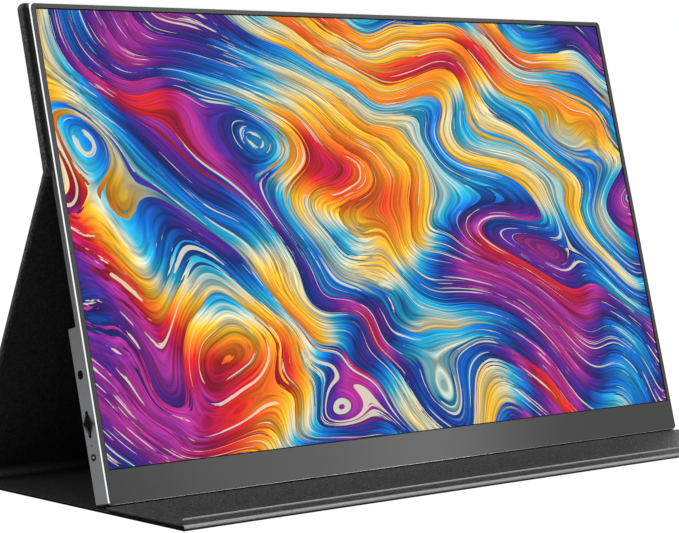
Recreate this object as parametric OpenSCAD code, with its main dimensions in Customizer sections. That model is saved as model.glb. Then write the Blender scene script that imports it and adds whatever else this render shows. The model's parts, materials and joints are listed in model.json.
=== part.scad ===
// Portable flat-panel monitor standing in its folding leatherette cover.
// The cover is one strip of four stiff panels: the upper panel holds the back
// of the monitor, the lower panel props it from behind, the base lies on the
// table, and the front flap is folded back over the base, where its free edge
// stops the monitor's foot.
// X runs to the right, Y to the back, Z up. The origin is the middle of the
// base's underside.

/* [Screen] */
// Width of the lit picture
screen_w = 354.2; // [300:0.1:400]
// Height of the lit picture
screen_h = 199.2; // [170:0.1:230]
// Border beside the picture, up to the polished rim
side_border = 2.85; // [2:0.05:8]
// Border above the picture, up to the polished rim
top_border = 2.45; // [2:0.05:8]
// Chin below the picture, down to the polished rim
chin = 15.05; // [14:0.05:30]
// Black mask left bare between the front frame and the picture
mask = 0.5; // [0.3:0.05:1]

/* [Metal housing] */
// Width of the polished chamfer round the front
rim = 0.5; // [0.4:0.05:0.9]
// Corner radius seen from the front
case_corner = 2.6; // [2:0.1:5]
// Depth of the thick lower part
thick_depth = 9.1; // [9:0.05:12]
// Height of the thick part above the housing's lower edge
thick_height = 76.8; // [74:0.1:110]
// Flat that the monitor stands on, along the depth of the thick part
foot_flat = 3.25; // [2:0.05:5]
// Rounding of the step's outer edge
step_round = 0.8; // [0.3:0.1:1]
// Side and lower walls, and the back of the thick part
case_wall = 1; // [0.95:0.05:1.2]
// Back wall of the thin upper part
thin_back = 0.7; // [0.5:0.05:0.9]

/* [Display stack] */
// Front frame
frame_depth = 0.4; // [0.3:0.05:0.6]
// Liquid crystal cell with its polarisers
cell_depth = 0.95; // [0.8:0.05:1.1]
// Each of the two optical films
film_depth = 0.14; // [0.1:0.01:0.2]
// Light guide
guide_depth = 0.6; // [0.4:0.05:0.75]
// White reflector
reflector_depth = 0.15; // [0.1:0.01:0.2]
// Sheet steel of the panel tray
tray_sheet = 0.35; // [0.25:0.05:0.45]
// Foam between the light guide and the reflector
stack_slack = 0.07; // [0.03:0.01:0.15]
// Height of the light bar below the light guide
light_bar = 1.3; // [1:0.1:1.5]

/* [Left side controls] */
// Headphone socket above the housing's lower edge
jack_height = 56.7; // [52:0.1:62]
// Bore of the headphone socket
jack_bore = 1.8; // [1.76:0.01:1.9]
// Length of the headphone socket's bore
jack_reach = 12; // [10:0.5:14]
// Middle of the control lever above the housing's lower edge
lever_height = 35.6; // [34:0.1:38]
// Length of the lever's slot
slot_length = 11.5; // [10.5:0.1:12]
// Width of the lever's slot
slot_width = 1.8; // [1.6:0.05:2.2]
// How far the lever stands out of the side
lever_reach = 2.7; // [1.5:0.1:3.5]
// Travel of the lever when it is pressed in
press_travel = 0.4; // [0.2:0.05:0.5]
// Indicator light above the housing's lower edge
light_height = 26.6; // [26:0.1:27.5]
// Radius of the indicator light's hole
light_radius = 0.5; // [0.4:0.05:0.6]
// Power button above the housing's lower edge
button_height = 21.6; // [20:0.1:22.5]
// Radius of the power button
button_radius = 1.5; // [1:0.05:1.7]
// Travel of the power button
button_travel = 0.3; // [0.2:0.05:0.4]

/* [Right side sockets] */
// Lower charging socket above the housing's lower edge
lower_socket = 26.7; // [25:0.1:29]
// Upper charging socket above the housing's lower edge
upper_socket = 40.7; // [40:0.1:43]
// Video socket above the housing's lower edge
video_socket = 56.7; // [55:0.1:60]

/* [Inside the thick part] */
// Thickness of the circuit boards
board_depth = 0.8; // [0.6:0.05:0.9]
// Height of the pads that the boards are screwed to
pad_height = 0.2; // [0.1:0.05:0.3]
// Width of the main board
main_w = 138; // [125:0.5:150]
// Width of the control board
control_w = 29; // [26:0.5:40]
// Between the screen driver board and the left speaker
driver_gap = 8.2; // [2:0.1:20]
// Height of the screen driver board
driver_h = 9; // [8:0.1:10]
// Width of each speaker
speaker_w = 46; // [30:1:60]
// Height of each speaker
speaker_h = 11; // [8:0.5:12]
// Each speaker from the side of the housing
speaker_inset = 38; // [30:1:50]

/* [Stand] */
// Lean of the monitor from upright, in degrees
lean = 15.2; // [12:0.1:20]
// Crease of the cover above the housing's lower edge
crease_height = 144.1; // [138:0.1:150]
// How far the rear fold lies behind the crease
prop_spread = 59.93; // [50:0.01:80]
// Flap from the monitor's foot to the front fold
flap_reach = 52.3; // [45:0.1:60]
// Strip that wraps the monitor's lower edge when the cover is closed
spine_width = 9.5; // [8:0.1:12]

/* [Cover] */
// How far the cover stands out beyond the border of the screen at each side
overhang = 2.5; // [2:0.05:4]
// How far the cover stands above the housing
top_overhang = 0.9; // [0.4:0.1:2]
// Corner radius of the panels
cover_corner = 3; // [2:0.1:5]
// Leatherette outside the panels
skin_depth = 0.6; // [0.4:0.05:0.7]
// Soft lining inside the panels
lining_depth = 0.4; // [0.3:0.05:0.5]
// Stiff board of the upper panel
upper_board_depth = 2.4; // [2:0.05:3]
// Stiff board of the lower panel
lower_board_depth = 1; // [0.6:0.05:1.2]
// Leatherette under the base and over the flap
thin_skin = 0.4; // [0.3:0.05:0.5]
// Stiff board of the base
base_board_depth = 0.4; // [0.3:0.05:0.5]
// Lining on the base and under the flap
thin_lining = 0.3; // [0.25:0.05:0.35]
// Stiff board of the flap
flap_board_depth = 0.6; // [0.4:0.05:0.7]
// Air left between the base and the folded flap
flap_air = 0.27; // [0.2:0.01:0.4]
// Distance of the flap's raised line from the front fold
ridge_place = 8.3; // [7:0.1:12]
// Half width of the flap's raised line
ridge_radius = 0.4; // [0.3:0.05:0.6]

/* [Clearances] */
// Between pieces that are dropped into place
seat_gap = 0.05; // [0.03:0.01:0.08]
// Between pieces that move past each other
move_gap = 0.3; // [0.25:0.05:0.4]
// Between a pin or plunger and its hole, on the radius
run_gap = 0.06; // [0.02:0.01:0.1]
// Between the monitor's foot and the base
foot_gap = 0.1; // [0.05:0.01:0.2]

/* [Hidden] */
$fn = 48;
reach = 20; // how far a cut runs past the face it opens
sliver = 0.01; // overlap that joins two shapes of one solid

// Monitor, in its own upright frame: X right, Y depth behind the front face,
// Z up from the lower edge of the front frame.
half_front = screen_w/2 + side_border;
half_case = half_front + rim;
front_h = chin + screen_h + top_border;
case_low = -rim;
case_high = front_h + rim;
step_z = case_low + thick_height;
half_pocket = half_case - case_wall;
pocket_low = case_low + case_wall;
pocket_high = case_high - case_wall;
bay_inset = 0.2; // from the pocket's side in to the bay's side
pocket_depth = frame_depth + cell_depth + 2*film_depth + guide_depth + stack_slack
    + reflector_depth + tray_sheet;
thin_depth = pocket_depth + thin_back;
bay_depth = thick_depth - case_wall;
bay_high = step_z - case_wall;
lip = 0.1; // flat left between the polished rim and the front frame
half_seat = half_front - lip; // seat of the front frame
seat_corner = case_corner - rim - lip;
foot_start = thick_depth - foot_flat;
foot_rise = foot_flat*tan(lean);
bay_start = foot_start - case_wall*tan(lean/2);
bay_low = pocket_low + (bay_depth - bay_start)*tan(lean);

// Display stack, front to back
pocket_corner = case_corner - case_wall;
tray_gap = 0.3*pocket_corner + seat_gap; // a square corner inside the pocket's round one
tray_under = 5; // how far the tray reaches down behind the chin
stack_gap = 0.3;
lamp_gap = 0.1;
lamp_strip = 0.25;
lamps = 40;
cell_y = frame_depth;
prism_y = cell_y + cell_depth;
diffuser_y = prism_y + film_depth;
guide_y = diffuser_y + film_depth;
tray_y = pocket_depth - tray_sheet;
reflector_y = tray_y - reflector_depth;
tray_half = half_pocket - tray_gap;
tray_low = chin - tray_under;
tray_high = pocket_high - tray_gap;
stack_half = tray_half - tray_sheet - stack_gap;
stack_low = tray_low + tray_sheet + stack_gap;
stack_high = tray_high - tray_sheet - stack_gap;
guide_low = stack_low + light_bar + lamp_gap;

// Circuit boards, resting on low pads in the bay
socket_half = 1.6; // half the depth of a socket shell
board_back = bay_depth - pad_height;
board_y = board_back - board_depth;
port_line = board_y - socket_half; // middle of the sockets and controls
bay_half = half_pocket - bay_inset;
bay_edge = bay_half - 2*seat_gap;
driver_lap = 20; // how far the driver board reaches below the main board
speaker_lift = 3.25; // from the bay's lower back edge up to the speakers
speaker_board_gap = 0.8;
speaker_low = bay_low + speaker_lift;
speaker_x = half_case - speaker_inset - speaker_w;
board_low = speaker_low + speaker_h + speaker_board_gap;
main_high = bay_high - 5.3;
main_left = bay_edge - main_w;
control_high = bay_high - 9.8;
control_right = -bay_edge + control_w;
driver_low = speaker_low + 4*seat_gap;
driver_left = -speaker_x + driver_gap;
driver_right = main_left + driver_lap;
pad_radius = 2.2;
screw_radius = 0.7;
screw_head = 1.5;
screw_rise = 0.6; // height of a screw's head
screw_reach = 0.5; // how far a screw enters the housing
screw_inset = 5;
socket_room = 28; // from the right edge of the main board to its nearest screws
BOARD_SCREWS = [
    [main_left + screw_inset, board_low + screw_inset],
    [main_left + screw_inset, main_high - screw_inset],
    [bay_edge - socket_room, board_low + screw_inset],
    [bay_edge - socket_room, main_high - screw_inset],
    [control_right - screw_inset, board_low + screw_inset],
    [control_right - screw_inset, control_high - screw_inset],
    [driver_left + screw_inset, driver_low + driver_h/2],
    [(driver_left + driver_right)/2, driver_low + driver_h/2]
];

// Controls and sockets, as heights in the monitor's frame
jack_z = case_low + jack_height;
lever_z = case_low + lever_height;
light_z = case_low + light_height;
button_z = case_low + button_height;
pivot_inset = 4.6; // from the side of the housing in to the lever's pin
pivot_x = -half_case + pivot_inset;
pivot_pin = 0.45;
hub_radius = 1.5;
slot_play = 0.25; // beside the lever, in the width of its slot
slot_end = 1.35; // beyond the lever's crown, at each end of its slot
lever_depth = slot_width - 2*slot_play;
crown_half = slot_length/2 - slot_end;
fork_half = hub_radius + move_gap;
fork_side = 0.1; // from the fork to the plane of the board
fork_depth = 2*(socket_half - fork_side);
fork_back = 3; // from the pin to the back of the fork
switch_wall = 0.7;
switch_length = 7; // from the pin to the back of the lever's switch

// Cover
cover_half = half_front + overhang;
upper_depth = lining_depth + upper_board_depth + skin_depth;
fold_radius = (lining_depth + lower_board_depth + skin_depth)/2;
crease_y = thin_depth + upper_depth - fold_radius;
crease_z = case_low + crease_height;
upper_low = crease_z + fold_radius + move_gap;
upper_high = case_high + top_overhang;
base_depth = thin_skin + base_board_depth + thin_lining;
flap_depth = thin_skin + flap_board_depth + thin_lining;
front_radius = (base_depth + flap_air + flap_depth)/2;
panel_gap = 0.5; // from a fold's roll to the edge of the panel beside it

// Placing, in the frame of the whole: the foot's flat lies on the base
stand_z = base_depth + foot_gap - case_low*cos(lean) + foot_start*sin(lean);
crease_back = crease_z*sin(lean) + crease_y*cos(lean);
crease_up = stand_z + crease_z*cos(lean) - crease_y*sin(lean);
rear_back = crease_back + prop_spread;
lower_reach = norm([prop_spread, crease_up - fold_radius]);
prop_lean = atan2(prop_spread, crease_up - fold_radius);
stand_y = (flap_reach - rear_back)/2;
front_axis_y = stand_y - flap_reach;
rear_axis_y = stand_y + rear_back;
base_front = front_axis_y + front_radius + seat_gap;
base_rear = rear_axis_y - fold_radius - panel_gap;
flap_front = front_axis_y + front_radius + move_gap;
flap_rear = stand_y - seat_gap;
flap_low = base_depth + flap_air;

// Placing modules
module on_monitor() { translate([0, stand_y, stand_z]) rotate([-lean, 0, 0]) children(); }
module on_prop() { translate([0, rear_axis_y, fold_radius]) rotate([prop_lean, 0, 0]) children(); }

// Box from its low corner to its high corner
module block(low, high) { translate(low) cube(high - low); }

// Outline in X and Z with round corners, drawn flat
module round_outline(x_low, x_high, z_low, z_high, corner) {
    translate([x_low + corner, z_low]) square([x_high - x_low - 2*corner, z_high - z_low]);
    translate([x_low, z_low + corner]) square([x_high - x_low, z_high - z_low - 2*corner]);
    for (x = [x_low + corner, x_high - corner], z = [z_low + corner, z_high - corner])
        translate([x, z]) circle(corner);
}

// Upright plate: a flat outline in X and Z given its place in depth
module plate(y_low, y_high) {
    translate([0, y_high, 0]) rotate([90, 0, 0]) linear_extrude(y_high - y_low) children();
}

// Bar along X: a flat outline in Y and Z
module bar(x_low, x_high) {
    translate([x_low, 0, 0]) rotate([90, 0, 90]) linear_extrude(x_high - x_low) children();
}

// Lying panel: a flat outline in X and Y
module layer(z_low, z_high) { translate([0, 0, z_low]) linear_extrude(z_high - z_low) children(); }

// Rod along X or along Y
module rod_x(x_low, x_high, radius) {
    translate([x_low, 0, 0]) rotate([0, 90, 0]) cylinder(h = x_high - x_low, r = radius);
}
module rod_y(y_low, y_high, radius) {
    translate([0, y_low, 0]) rotate([-90, 0, 0]) cylinder(h = y_high - y_low, r = radius);
}

// Outline in Y and Z with two half-round ends, centred, long way up
module slot_outline(length, width) {
    for (side = [-1, 1]) translate([0, side*(length - width)/2]) circle(width/2);
    translate([-width/2, -(length - width)/2]) square([width, length - width]);
}

// --- Monitor ------------------------------------------------------------

// Chamfered slab with true cones at its corners
module case_slab(depth) {
    cut = rim;
    inner_x = half_case - case_corner;
    low = case_low + case_corner;
    high = case_high - case_corner;
    translate([0, 0, low]) linear_extrude(high - low) polygon([
        [-half_case + cut, 0], [half_case - cut, 0], [half_case, cut],
        [half_case, depth], [-half_case, depth], [-half_case, cut]]);
    bar(-inner_x, inner_x) polygon([
        [0, case_low + cut], [0, case_high - cut], [cut, case_high],
        [depth, case_high], [depth, case_low], [cut, case_low]]);
    for (x = [-inner_x, inner_x], z = [low, high])
        translate([x, 0, z]) rotate([-90, 0, 0]) rotate_extrude() polygon([
            [0, 0], [case_corner - cut, 0], [case_corner, cut],
            [case_corner, depth], [0, depth]]);
}

// Side outline of the housing: thin above the step, thick below it
module case_outline() {
    polygon([
        [0, case_low], [foot_start, case_low], [thick_depth, case_low + foot_rise],
        [thick_depth, step_z - step_round], [thick_depth - step_round, step_z],
        [thin_depth, step_z], [thin_depth, case_high], [0, case_high]]);
    translate([thick_depth - step_round, step_z - step_round]) circle(step_round);
}

// Side outline of the electronics bay, one wall inside the housing
module bay_outline() {
    polygon([
        [pocket_depth - sliver, pocket_low], [bay_start, pocket_low], [bay_depth, bay_low],
        [bay_depth, bay_high], [pocket_depth - sliver, bay_high]]);
}

// Row of sound slots in the back of the thick part
module sound_slots(x_middle) {
    count = 9;
    pitch = (speaker_w - 10)/count;
    for (i = [0:count - 1])
        translate([x_middle + (i - (count - 1)/2)*pitch, 0, speaker_low + speaker_h/2])
            plate(bay_depth - 1, thick_depth + 1) slot_outline(speaker_h - 5, 0.3*pitch);
}

module socket_opening(z) {
    translate([0, port_line, z]) bar(half_pocket - 1, half_case + reach) children();
}

module rear_housing() color([0.47, 0.48, 0.5]) on_monitor() difference() {
    union() {
        difference() {
            intersection() {
                case_slab(thick_depth);
                bar(-half_case - 1, half_case + 1) case_outline();
            }
            plate(-reach, frame_depth) round_outline(-half_seat, half_seat,
                lip, front_h - lip, seat_corner);
            plate(-reach, pocket_depth) round_outline(-half_pocket, half_pocket,
                pocket_low, pocket_high, pocket_corner);
            bar(-half_pocket + bay_inset, half_pocket - bay_inset) bay_outline();
        }
        for (p = BOARD_SCREWS)
            translate([p[0], 0, p[1]]) rod_y(board_back, bay_depth + sliver, pad_radius);
    }
    for (p = BOARD_SCREWS)
        translate([p[0], 0, p[1]])
            rod_y(board_back - 1, bay_depth + screw_reach + 0.1, screw_radius);
    translate([0, port_line, jack_z])
        rod_x(-half_case - reach, -half_pocket + 1, jack_bore + move_gap);
    translate([0, port_line, lever_z]) bar(-half_case - reach, -half_pocket + 1)
        slot_outline(slot_length, slot_width);
    translate([0, port_line, light_z]) rod_x(-half_case - reach, -half_pocket + 1, light_radius);
    translate([0, port_line, button_z])
        rod_x(-half_case - reach, -half_pocket + 1, button_radius + run_gap);
    for (z = [lower_socket, upper_socket]) socket_opening(case_low + z)
        slot_outline(usb_length + 2*socket_gap, usb_width + 2*socket_gap);
    socket_opening(case_low + video_socket)
        clipped_outline(video_length + 2*socket_gap, 2*(socket_half + socket_gap), video_clip);
    for (side = [-1, 1]) sound_slots(side*(speaker_x + speaker_w/2));
}

// Black frame round the picture, flush with the polished rim
module front_frame() color([0.09, 0.095, 0.1]) on_monitor() difference() {
    plate(0, frame_depth) round_outline(-half_seat + seat_gap, half_seat - seat_gap,
        lip + seat_gap, front_h - lip - seat_gap, seat_corner);
    block([-screen_w/2 - mask, -1, chin - mask],
          [screen_w/2 + mask, frame_depth + 1, chin + screen_h + mask]);
}

// Ribbed bar that backs the chin
module chin_support() color([0.12, 0.12, 0.13]) on_monitor() difference() {
    wall = 1;
    low = pocket_low + 4*seat_gap;
    high = tray_low - 2*seat_gap;
    plate(frame_depth, pocket_depth) round_outline(-tray_half, tray_half, low, high, pocket_corner);
    rib_pitch = tray_half/9;
    for (i = [-8:8])
        block([(i - 0.4)*rib_pitch, frame_depth + 0.8*wall, low + wall],
              [(i + 0.4)*rib_pitch, pocket_depth + 1, high - wall]);
}

module lcd_cell() color([0.9, 0.55, 0.2]) on_monitor()
    block([-stack_half, cell_y, stack_low], [stack_half, prism_y, stack_high]);

module prism_film() color([0.85, 0.88, 0.9]) on_monitor()
    block([-stack_half, prism_y, guide_low], [stack_half, diffuser_y, stack_high]);

module diffuser_film() color([0.95, 0.95, 0.95]) on_monitor()
    block([-stack_half, diffuser_y, guide_low], [stack_half, guide_y, stack_high]);

module light_guide() color([0.8, 0.9, 0.95]) on_monitor()
    block([-stack_half, guide_y, guide_low], [stack_half, guide_y + guide_depth, stack_high]);

module reflector_sheet() color([0.98, 0.98, 0.98]) on_monitor()
    block([-stack_half, reflector_y, guide_low], [stack_half, tray_y, stack_high]);

// Strip of lamps that shines up into the light guide
module light_bar() color([0.95, 0.9, 0.6]) on_monitor() {
    pitch = 2*stack_half/lamps;
    block([-stack_half, guide_y, stack_low], [stack_half, tray_y, stack_low + lamp_strip]);
    for (i = [0:lamps - 1])
        block([-stack_half + (i + 0.25)*pitch, guide_y, stack_low + lamp_strip - sliver],
              [-stack_half + (i + 0.75)*pitch, tray_y, stack_low + light_bar]);
}

// Steel tray that holds the whole display stack
module panel_tray() color([0.75, 0.77, 0.8]) on_monitor() difference() {
    block([-tray_half, cell_y, tray_low], [tray_half, pocket_depth, tray_high]);
    block([-tray_half + tray_sheet, cell_y - 1, tray_low + tray_sheet],
          [tray_half - tray_sheet, tray_y, tray_high - tray_sheet]);
}

// Board outline with a hole for each of its screws
module board(x_low, x_high, z_low, z_high) {
    difference() {
        block([x_low, board_y, z_low], [x_high, board_back, z_high]);
        for (p = BOARD_SCREWS) translate([p[0], 0, p[1]])
            rod_y(board_y - 1, board_back + 1, screw_radius + seat_gap);
        children();
    }
}

module driver_board() color([0.05, 0.3, 0.2]) on_monitor()
    board(driver_left, driver_right, driver_low, driver_low + driver_h);

module main_board() color([0.05, 0.35, 0.2]) on_monitor()
    board(main_left, bay_edge, board_low, main_high);

// Board of the left side's controls, cut out for the socket and the button's collar
module control_board() color([0.05, 0.35, 0.2]) on_monitor()
    board(-bay_edge, control_right, board_low, control_high) {
        board_notch(jack_z, jack_half + seat_gap, jack_back + seat_gap);
        board_notch(button_z, button_radius + collar + move_gap,
            collar_x + 1.4*collar + button_travel + move_gap);
    }
module board_notch(z, half, x_high)
    block([-half_case, board_y - 1, z - half], [x_high, board_back + 1, z + half]);

// Chips, coils and capacitors as [from the left, up, width, height, depth]
CHIPS = [
    [38, 24, 15, 15, 1.1], [62, 22, 18, 18, 1], [17, 14, 7, 7, 2.6], [17, 26, 7, 7, 2.6],
    [30, 42, 9, 5, 1.5], [96, 12, 6, 6, 0.9], [96, 26, 6, 6, 0.9], [90, 42, 12, 5, 1.2]
];
module board_chips() color([0.1, 0.1, 0.11]) on_monitor() for (c = CHIPS)
    block([main_left + c[0], board_y - c[4], board_low + c[1]],
          [main_left + c[0] + c[2], board_y, board_low + c[1] + c[3]]);

// Tinned lid over the picture processor, which is the second chip
module shield_can() color([0.78, 0.79, 0.8]) on_monitor() {
    sheet = 0.3;
    room = 3;
    chip = CHIPS[1];
    low = [main_left + chip[0] - room, board_y - 1.9*chip[4], board_low + chip[1] - room];
    high = [main_left + chip[0] + chip[2] + room, board_y, board_low + chip[1] + chip[3] + room];
    difference() {
        block(low, high);
        block(low + [sheet, sheet, sheet], high + [-sheet, 1, -sheet]);
    }
}

// Flat cable from the main board down to the driver board
flex_depth = 0.2;
flex_lap = 3.5; // how far a flat cable lies over each board
screen_flex_w = 10;
control_flex_w = 5;
module screen_flex() color([0.75, 0.6, 0.3]) on_monitor()
    block([driver_right - 2 - screen_flex_w, board_y - flex_depth, driver_low + driver_h - flex_lap],
          [driver_right - 2, board_y, board_low + flex_lap]);

// Flat cable from the main board to the control board
module control_flex() color([0.75, 0.6, 0.3]) on_monitor()
    block([control_right - flex_lap, board_y - flex_depth, (board_low + main_high)/2],
          [main_left + flex_lap, board_y, (board_low + main_high)/2 + control_flex_w]);

// Charging socket: a drawn shell with a contact tongue
usb_length = 8.94;
usb_width = 3.16;
video_length = 11.2;
video_clip = 0.9;
socket_wall = 0.3;
socket_back = 0.6; // back wall of a socket
socket_gap = 0.23; // round a socket, in the housing's wall
tongue_in = 0.9; // from a socket's mouth to its tongue
module usb_socket(z) color([0.8, 0.8, 0.82]) on_monitor() translate([0, port_line, z]) {
    depth = 7;
    tongue = [0.35, 0.375*usb_length];
    difference() {
        bar(half_pocket - depth, half_pocket - seat_gap) slot_outline(usb_length, usb_width);
        bar(half_pocket - depth + socket_back, half_pocket + 1)
            slot_outline(usb_length - 2*socket_wall, usb_width - 2*socket_wall);
    }
    block([half_pocket - depth + socket_back/2, -tongue[0], -tongue[1]],
          [half_pocket - tongue_in, tongue[0], tongue[1]]);
}
module lower_usb_socket() usb_socket(case_low + lower_socket);
module upper_usb_socket() usb_socket(case_low + upper_socket);

// Video socket: the same build with two clipped corners
module clipped_outline(length, width, clip) {
    polygon([
        [-width/2, -length/2], [width/2 - clip, -length/2], [width/2, -length/2 + clip],
        [width/2, length/2 - clip], [width/2 - clip, length/2], [-width/2, length/2]]);
}
module mini_video_socket() color([0.8, 0.8, 0.82]) on_monitor()
    translate([0, port_line, case_low + video_socket]) {
        width = 2*socket_half;
        depth = 7.5;
        tongue = [0.6, 0.366*video_length];
        difference() {
            bar(half_pocket - depth, half_pocket - seat_gap)
                clipped_outline(video_length, width, video_clip);
            bar(half_pocket - depth + socket_back, half_pocket + 1)
                clipped_outline(video_length - 2*socket_wall, width - 2*socket_wall,
                    video_clip - 0.1);
        }
        block([half_pocket - depth + socket_back/2, -tongue[0], -tongue[1]],
              [half_pocket - tongue_in, 0, tongue[1]]);
    }

// Headphone socket: a moulded block with a blind bore, seated on the bay's floor
jack_wall = 0.6; // in front of the bore
jack_half = jack_bore + 2*jack_wall;
jack_front = -bay_half + seat_gap;
jack_back = jack_front + jack_reach + 2;
module headphone_socket() color([0.08, 0.08, 0.08]) on_monitor() difference() {
    block([jack_front, port_line - jack_bore - jack_wall, jack_z - jack_half],
          [jack_back, bay_depth, jack_z + jack_half]);
    translate([0, port_line, jack_z]) rod_x(jack_front - 1, jack_front + jack_reach, jack_bore);
}

// Fixed body of the lever switch: a channel that is open to the side wall
module lever_switch() color([0.12, 0.12, 0.13]) on_monitor() translate([0, 0, lever_z]) {
    low_y = port_line - fork_depth/2 - move_gap/2;
    half = fork_half + move_gap + switch_wall;
    difference() {
        block([pivot_x - fork_half + 2*move_gap, low_y, -half],
              [pivot_x + switch_length, board_y, half]);
        block([pivot_x - fork_half - 1, low_y - 1, switch_wall - half],
              [pivot_x + fork_back + press_travel + move_gap,
               port_line + fork_depth/2 + seat_gap, half - switch_wall]);
    }
}

// Carrier that is pressed in with the lever and holds its pin
module lever_carrier() color([0.7, 0.7, 0.72]) on_monitor() translate([0, port_line, lever_z]) {
    for (side = [-1, 1]) {
        near = side*(lever_depth/2 + move_gap);
        far = side*fork_depth/2;
        block([pivot_x - fork_half, min(near, far), -fork_half],
              [pivot_x + fork_back, max(near, far), fork_half]);
    }
    block([pivot_x + hub_radius + move_gap, -fork_depth/2, -fork_half],
          [pivot_x + fork_back, fork_depth/2, fork_half]);
    translate([pivot_x, 0, 0])
        rod_y(-fork_depth/2 + sliver, fork_depth/2 - sliver, pivot_pin);
}

// Rocking lever: round hub on the pin, neck through the slot, pointed crown
module control_lever() color([0.1, 0.1, 0.11]) on_monitor() translate([0, port_line, lever_z]) {
    tip = 0.7;
    tip_x = -half_case - lever_reach + tip;
    crown_x = -half_case - 0.2;
    neck = hub_radius - 0.3;
    difference() {
        plate(-lever_depth/2, lever_depth/2) union() {
            translate([pivot_x, 0]) circle(hub_radius);
            polygon([
                [pivot_x, -neck], [pivot_x, neck], [crown_x + 1.3, neck],
                [crown_x + 1, crown_half], [crown_x, crown_half], [tip_x, tip - 0.1],
                [tip_x, -tip + 0.1], [crown_x, -crown_half],
                [crown_x + 1, -crown_half], [crown_x + 1.3, -neck]]);
            translate([tip_x, 0]) circle(tip);
        }
        translate([pivot_x, 0, 0]) rod_y(-lever_depth, lever_depth, pivot_pin + run_gap);
    }
}

// Side-pressed switch behind the power button
plunger_radius = 0.7;
collar = 0.4; // how far the button's collar reaches behind the wall
collar_x = -bay_half + seat_gap;
switch_x = collar_x + 2*collar + 1.35;
power_half = 2.2;
module power_switch() color([0.14, 0.14, 0.15]) on_monitor()
    block([switch_x, port_line - 1.5, button_z - power_half],
          [switch_x + 4, board_y, button_z + power_half]);

// Power button: flush cap, collar behind the wall and plunger to its switch
module power_button() color([0.2, 0.2, 0.21]) on_monitor() translate([0, port_line, button_z]) {
    rod_x(-half_case - button_travel/2, collar_x + collar, button_radius);
    rod_x(collar_x, collar_x + 1.4*collar, button_radius + collar);
    rod_x(collar_x + collar, switch_x - button_travel - 2*seat_gap, plunger_radius);
}

// Clear pipe that brings the indicator's light to the side
module light_pipe() color([0.8, 0.85, 0.9]) on_monitor() translate([0, port_line, light_z]) {
    foot = light_radius + 2*seat_gap;
    foot_x = -half_pocket + 2*light_radius;
    rod_x(-half_case + 2*seat_gap, foot_x + foot, light_radius - seat_gap);
    block([foot_x, -light_radius, -foot], [foot_x + 2*foot, socket_half, foot]);
}

// Speaker: frame with a raised diaphragm that faces the sound slots
module speaker(side) color([0.13, 0.13, 0.14]) on_monitor() {
    x_low = side > 0 ? speaker_x : -speaker_x - speaker_w;
    wall = 1.5;
    frame_y = bay_depth - 1.4;
    block([x_low, pocket_depth + 0.7, speaker_low],
          [x_low + speaker_w, frame_y, speaker_low + speaker_h]);
    difference() {
        block([x_low, frame_y - sliver, speaker_low],
              [x_low + speaker_w, bay_depth, speaker_low + speaker_h]);
        block([x_low + wall, frame_y - 1, speaker_low + wall],
              [x_low + speaker_w - wall, bay_depth + 1, speaker_low + speaker_h - wall]);
    }
    translate([x_low + speaker_w/2, frame_y - sliver, speaker_low + speaker_h/2])
        plate(0, 0.6) round_outline(-speaker_w/2 + 2*wall, speaker_w/2 - 2*wall,
            -speaker_h/2 + 1.7*wall, speaker_h/2 - 1.7*wall, wall);
}
module left_speaker() speaker(-1);
module right_speaker() speaker(1);

module board_screws() color([0.7, 0.7, 0.72]) on_monitor() for (p = BOARD_SCREWS)
    translate([p[0], 0, p[1]]) difference() {
        union() {
            rod_y(board_y - screw_rise, board_y, screw_head);
            rod_y(board_y - sliver, bay_depth + screw_reach, screw_radius - seat_gap);
        }
        for (cross = [[0.6*screw_head, 0.1*screw_head], [0.1*screw_head, 0.6*screw_head]])
            block([-cross[0], board_y - 1, -cross[1]],
                  [cross[0], board_y - 0.6*screw_rise, cross[1]]);
    }

// --- Cover: upper panel, on the monitor's back ----------------------------

lining_inset = 0.4; // from the edge of the upper panel's board
magnet_w = 34;
magnet_h = 9;
magnet_depth = 1.5;
UPPER_MAGNETS = [for (x = [-0.8, -0.3, 0.3, 0.8], row = [0.22, 0.8])
    [x*(cover_half - magnet_w), upper_low + row*(upper_high - upper_low) - magnet_h/2]];

module magnet_bars(grow) {
    for (p = UPPER_MAGNETS)
        block([p[0] - magnet_w/2 - grow, thin_depth + lining_depth - grow*sliver, p[1] - grow],
              [p[0] + magnet_w/2 + grow, thin_depth + lining_depth + magnet_depth + grow,
               p[1] + magnet_h + grow]);
}

module upper_lining() color([0.06, 0.06, 0.065]) on_monitor()
    plate(thin_depth, thin_depth + lining_depth) round_outline(-cover_half + skin_depth + lining_inset,
        cover_half - skin_depth - lining_inset, upper_low + lining_inset,
        upper_high - skin_depth - lining_inset, cover_corner - skin_depth);

module upper_board() color([0.35, 0.33, 0.3]) on_monitor() difference() {
    plate(thin_depth + lining_depth, thin_depth + lining_depth + upper_board_depth)
        round_outline(-cover_half + skin_depth, cover_half - skin_depth,
            upper_low, upper_high - skin_depth, cover_corner - skin_depth);
    magnet_bars(seat_gap);
}

module upper_magnets() color([0.72, 0.72, 0.75]) on_monitor() magnet_bars(0);

// Leatherette over the back of the panel, turned in round three of its edges
module upper_skin() color([0.09, 0.09, 0.095]) on_monitor() difference() {
    plate(thin_depth + lining_depth, thin_depth + upper_depth) union() {
        round_outline(-cover_half, cover_half, upper_low, upper_high, cover_corner);
        translate([-cover_half, upper_low]) square([2*cover_half, cover_corner]);
    }
    plate(thin_depth, thin_depth + lining_depth + upper_board_depth) union() {
        round_outline(-cover_half + skin_depth, cover_half - skin_depth, upper_low - 1,
            upper_high - skin_depth, cover_corner - skin_depth);
        translate([-cover_half + skin_depth, upper_low - 1])
            square([2*(cover_half - skin_depth), cover_corner]);
    }
}

// --- Cover: lower panel, the prop behind the monitor ------------------------
// In its own frame Z runs from the rear fold up to the crease and Y outwards.

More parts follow.
